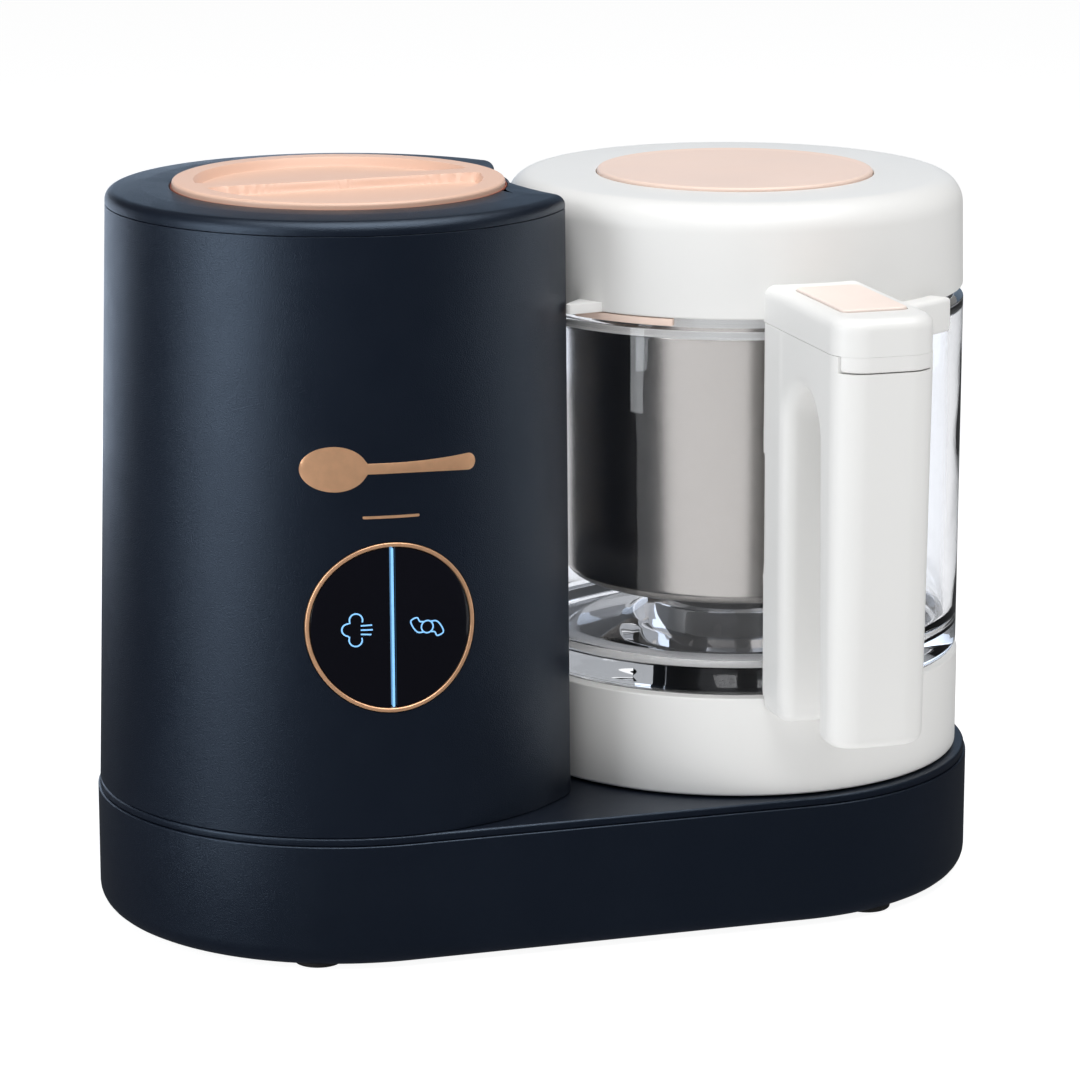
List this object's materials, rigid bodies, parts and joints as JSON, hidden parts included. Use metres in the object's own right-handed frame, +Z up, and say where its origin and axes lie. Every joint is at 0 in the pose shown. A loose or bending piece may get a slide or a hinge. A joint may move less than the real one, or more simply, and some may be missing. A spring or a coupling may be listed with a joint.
{
  "type": "baby food maker",
  "caption": "Countertop steamer-blender: tapered heating tower with a round cap and round control, beside a glass jar with hook handle, steel basket and domed lid on a shared base.",
  "frame": {"origin": "centre of the footprint's bounding box, on the table that the rubber feet stand on", "axes": "+X from the heating tower to the jar, -Y to the front where the controls and the handle are, +Z up"},
  "size_m": [0.3034, 0.2264, 0.2463],
  "materials": {
    "navy_plastic": "fine satin grain",
    "white_plastic": "satin",
    "blush_plastic": "satin",
    "rose_gold": "polished rose-gold plating",
    "steel": "brushed round the axis",
    "clear_glass": "clear, thick walled",
    "black_gloss": "high gloss",
    "ice_light": "lit from behind",
    "foot_rubber": "matt",
    "red_silicone": "matt",
    "charcoal_plastic": "matt, glass filled",
    "circuit_board": "solder mask",
    "bronze": "sintered"
  },
  "bodies": {
    "root": {"base_tray": "navy_plastic", "deck_cover": "navy_plastic", "foot_front_left": "foot_rubber", "foot_front_right": "foot_rubber", "foot_rear_left": "foot_rubber", "foot_rear_right": "foot_rubber", "base_screw_front_left": "steel", "base_screw_front_right": "steel", "base_screw_rear_left": "steel", "base_screw_rear_right": "steel", "power_inlet": "charcoal_plastic", "tower_shell": "navy_plastic", "tower_top": "navy_plastic", "water_tank": "steel", "heating_plate": "steel", "thermostat": "charcoal_plastic", "steam_nozzle": "red_silicone", "control_board": "circuit_board", "control_carrier": "charcoal_plastic", "bezel_ring": "rose_gold", "light_bar": "ice_light", "emblem": "rose_gold", "accent_line": "rose_gold", "motor_mount": "charcoal_plastic", "motor_can": "steel", "drive_belt": "foot_rubber", "drive_bearing": "bronze"},
    "cap_ring": {"cap_seal": "red_silicone"},
    "cap": {"tank_cap": "blush_plastic", "cap_plug": "white_plastic"},
    "steam_key": {"steam_button": "black_gloss"},
    "blend_key": {"blend_button": "black_gloss"},
    "motor": {"motor_rotor": "steel", "motor_pulley": "charcoal_plastic"},
    "drive": {"jar_pulley": "charcoal_plastic", "drive_shaft": "steel", "drive_coupling": "charcoal_plastic"},
    "jar_foot": {"jar_foot_ring": "foot_rubber"},
    "jar": {"jar_base": "white_plastic", "glass_bowl": "clear_glass", "bowl_gasket": "red_silicone", "blade_hub": "charcoal_plastic", "handle": "white_plastic"},
    "blade": {"blade_shaft": "steel", "blade_lower": "steel", "blade_upper": "steel", "blade_coupling": "charcoal_plastic"},
    "basket": {"steam_basket": "steel", "basket_collar": "white_plastic"},
    "lid_ring": {"lid_seal": "blush_plastic"},
    "lid": {"lid_shell": "white_plastic", "lid_disc": "blush_plastic", "lock_band": "blush_plastic", "steam_diffuser": "white_plastic"},
    "release": {"release_pad": "blush_plastic"}
  },
  "joints": [
    {"name": "cap_lift", "type": "slide", "parent": "root", "child": "cap_ring", "axis": [0, 0, 1], "range_m": [0, 0.04]},
    {"name": "cap_turn", "type": "hinge", "parent": "cap_ring", "child": "cap", "pos_m": [-0.0687, 0.0302, 0.242], "axis": [0, 0, 1], "range_deg": [0, 60]},
    {"name": "steam_press", "type": "slide", "parent": "root", "child": "steam_key", "axis": [0.0593, 0.9982, 0], "range_m": [0, 0.001], "stiffness_N_per_m": 600},
    {"name": "blend_press", "type": "slide", "parent": "root", "child": "blend_key", "axis": [0.0593, 0.9982, 0], "range_m": [0, 0.001], "stiffness_N_per_m": 600},
    {"name": "motor_spin", "type": "hinge", "parent": "root", "child": "motor", "pos_m": [-0.0687, 0.0302, 0.08], "axis": [0, 0, 1], "continuous": true},
    {"name": "drive_spin", "type": "hinge", "parent": "root", "child": "drive", "pos_m": [0.0695, 0.0302, 0.04], "axis": [0, 0, 1], "continuous": true},
    {"name": "jar_lift", "type": "slide", "parent": "root", "child": "jar_foot", "axis": [0, 0, 1], "range_m": [0, 0.21]},
    {"name": "jar_turn", "type": "hinge", "parent": "jar_foot", "child": "jar", "pos_m": [0.0695, 0.0302, 0.046], "axis": [0, 0, 1], "range_deg": [0, 25]},
    {"name": "blade_spin", "type": "hinge", "parent": "jar", "child": "blade", "pos_m": [0.0695, 0.0302, 0.09], "axis": [0, 0, 1], "continuous": true},
    {"name": "basket_lift", "type": "slide", "parent": "jar", "child": "basket", "axis": [0, 0, 1], "range_m": [0, 0.14]},
    {"name": "lid_lift", "type": "slide", "parent": "basket", "child": "lid_ring", "axis": [0, 0, 1], "range_m": [0, 0.06]},
    {"name": "lid_turn", "type": "hinge", "parent": "lid_ring", "child": "lid", "pos_m": [0.0695, 0.0302, 0.22], "axis": [0, 0, 1], "range_deg": [0, 30]},
    {"name": "release_press", "type": "slide", "parent": "lid", "child": "release", "axis": [0, 0, -1], "range_m": [0, 0.002], "stiffness_N_per_m": 400}
  ],
  "couplings": [
    {"joint": "drive_spin", "follows": "motor_spin", "ratio": 0.37037},
    {"joint": "blade_spin", "follows": "motor_spin", "ratio": 0.37037}
  ]
}
